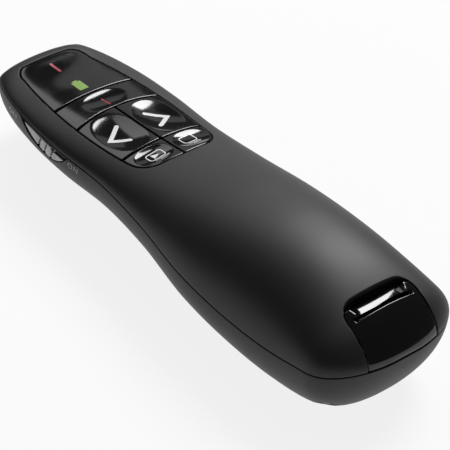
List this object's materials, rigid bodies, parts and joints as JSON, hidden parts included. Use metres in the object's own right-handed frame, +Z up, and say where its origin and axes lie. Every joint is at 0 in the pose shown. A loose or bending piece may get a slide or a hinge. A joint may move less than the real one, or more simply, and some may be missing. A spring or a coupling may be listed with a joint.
{
  "type": "wireless presentation clicker",
  "caption": "Hand-held wireless presentation remote: slim head with glossy dished keys, laser pointer, power slider, and a pull-out USB receiver stored in the tail.",
  "frame": {"origin": "on the resting plane, under the middle of the casing's length and width", "axes": "+Y towards the laser end, +Z up out of the keys, +X to the right of a hand that points the laser away"},
  "size_m": [0.0378, 0.1156, 0.0275],
  "materials": {
    "soft_charcoal": "soft-touch matt charcoal",
    "gloss_black": "polished piano black",
    "matt_black": "fine texture, black",
    "satin_silver": "satin silver paint",
    "frosted": "frosted light guide",
    "smoked_glass": "clear red tinted window",
    "clear_lens": "moulded clear lens",
    "circuit_green": "solder mask",
    "chip_black": "moulded epoxy",
    "ceramic_white": "white ceramic",
    "tinned_steel": "tinned sheet",
    "spring_steel": "nickel plated wire",
    "screw_steel": "dark plated",
    "laser_brass": "turned",
    "cell_sleeve": "printed sleeve over steel",
    "plug_nickel": "nickel plated",
    "tongue_white": "glass-filled",
    "gold": "gold flash",
    "ivory": "switch housing"
  },
  "bodies": {
    "casing": {"top_shell": "soft_charcoal", "bottom_shell": "soft_charcoal", "status_panel": "gloss_black", "tact_switches": "tinned_steel", "main_board": "circuit_green", "radio_chip": "chip_black", "controller_chip": "chip_black", "crystal": "tinned_steel", "antenna": "ceramic_white", "activity_led": "ceramic_white", "battery_level_led": "ceramic_white", "activity_light_guide": "frosted", "battery_level_light_guide": "frosted", "board_screws": "screw_steel", "case_screws": "screw_steel", "laser_barrel": "laser_brass", "laser_lens": "clear_lens", "laser_diode": "tinned_steel", "laser_window": "smoked_glass", "slide_switch_body": "tinned_steel", "battery_tray": "matt_black", "battery_left": "cell_sleeve", "battery_right": "cell_sleeve", "battery_springs": "spring_steel", "negative_contact": "tinned_steel", "positive_contact": "tinned_steel", "bridge_contact": "tinned_steel"},
    "battery_cover": {"battery_door": "soft_charcoal"},
    "power_switch": {"power_slider": "satin_silver", "slide_switch_lever": "chip_black"},
    "receiver": {"receiver_cap": "gloss_black", "receiver_upper_housing": "matt_black", "receiver_lower_housing": "matt_black", "receiver_board": "circuit_green", "receiver_chip": "chip_black", "usb_shell": "plug_nickel", "usb_tongue": "tongue_white", "usb_contacts": "gold"},
    "laser_key": {"laser_button": "gloss_black", "laser_switch_stem": "ivory"},
    "previous_key": {"previous_button": "gloss_black", "previous_switch_stem": "ivory"},
    "next_key": {"next_button": "gloss_black", "next_switch_stem": "ivory"},
    "slideshow_key": {"slideshow_button": "gloss_black", "slideshow_switch_stem": "ivory"},
    "blank_screen_key": {"blank_screen_button": "gloss_black", "blank_screen_switch_stem": "ivory"}
  },
  "joints": [
    {"name": "laser_press", "type": "slide", "parent": "casing", "child": "laser_key", "axis": [0, 0, -1], "range_m": [0, 0.0005], "stiffness_N_per_m": 3000},
    {"name": "previous_press", "type": "slide", "parent": "casing", "child": "previous_key", "axis": [0, 0, -1], "range_m": [0, 0.0005], "stiffness_N_per_m": 3000},
    {"name": "next_press", "type": "slide", "parent": "casing", "child": "next_key", "axis": [0, 0, -1], "range_m": [0, 0.0005], "stiffness_N_per_m": 3000},
    {"name": "slideshow_press", "type": "slide", "parent": "casing", "child": "slideshow_key", "axis": [0, 0, -1], "range_m": [0, 0.0005], "stiffness_N_per_m": 3000},
    {"name": "blank_screen_press", "type": "slide", "parent": "casing", "child": "blank_screen_key", "axis": [0, 0, -1], "range_m": [0, 0.0005], "stiffness_N_per_m": 3000},
    {"name": "power_slide", "type": "slide", "parent": "casing", "child": "power_switch", "axis": [0, 1, 0], "range_m": [0, 0.0012]},
    {"name": "battery_cover_tilt", "type": "hinge", "parent": "casing", "child": "battery_cover", "pos_m": [0, -0.00825, 0], "axis": [1, 0, 0], "range_deg": [0, 75]},
    {"name": "receiver_pull", "type": "slide", "parent": "casing", "child": "receiver", "axis": [0, -0.9986, 0.0523], "range_m": [0, 0.062]}
  ]
}
